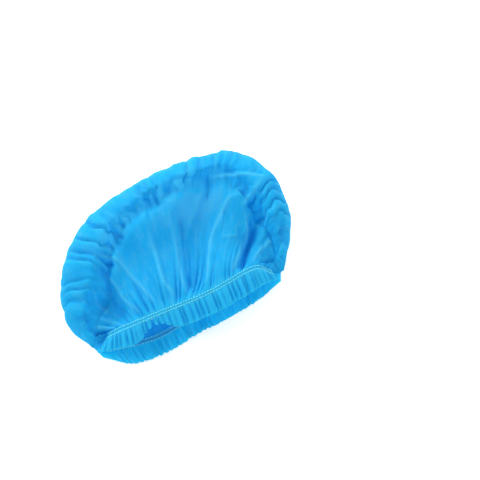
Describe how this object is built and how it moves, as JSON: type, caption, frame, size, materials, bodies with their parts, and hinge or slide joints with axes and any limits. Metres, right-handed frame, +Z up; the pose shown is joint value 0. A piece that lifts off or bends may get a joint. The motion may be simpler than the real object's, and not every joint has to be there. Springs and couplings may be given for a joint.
{
  "type": "disposable hairnet",
  "caption": "Opened disposable bouffant hair cap of blue nonwoven, lying on its side, with a gathered elastic mouth, ruffled hems and a puffed rim.",
  "frame": {"origin": "middle of the cap's footprint, on the surface it lies on", "axes": "+X along the mouth from the left weld to the right weld, -Y out of the mouth, +Z up"},
  "size_m": [0.2828, 0.1968, 0.0538],
  "materials": {
    "nonwoven": "thin spun-bonded nonwoven, soft and slightly see-through",
    "elastic": "flat sewn-in elastic"
  },
  "bodies": {
    "root": {"crown": "nonwoven", "front_elastic": "elastic", "back_elastic": "elastic"}
  },
  "joints": []
}
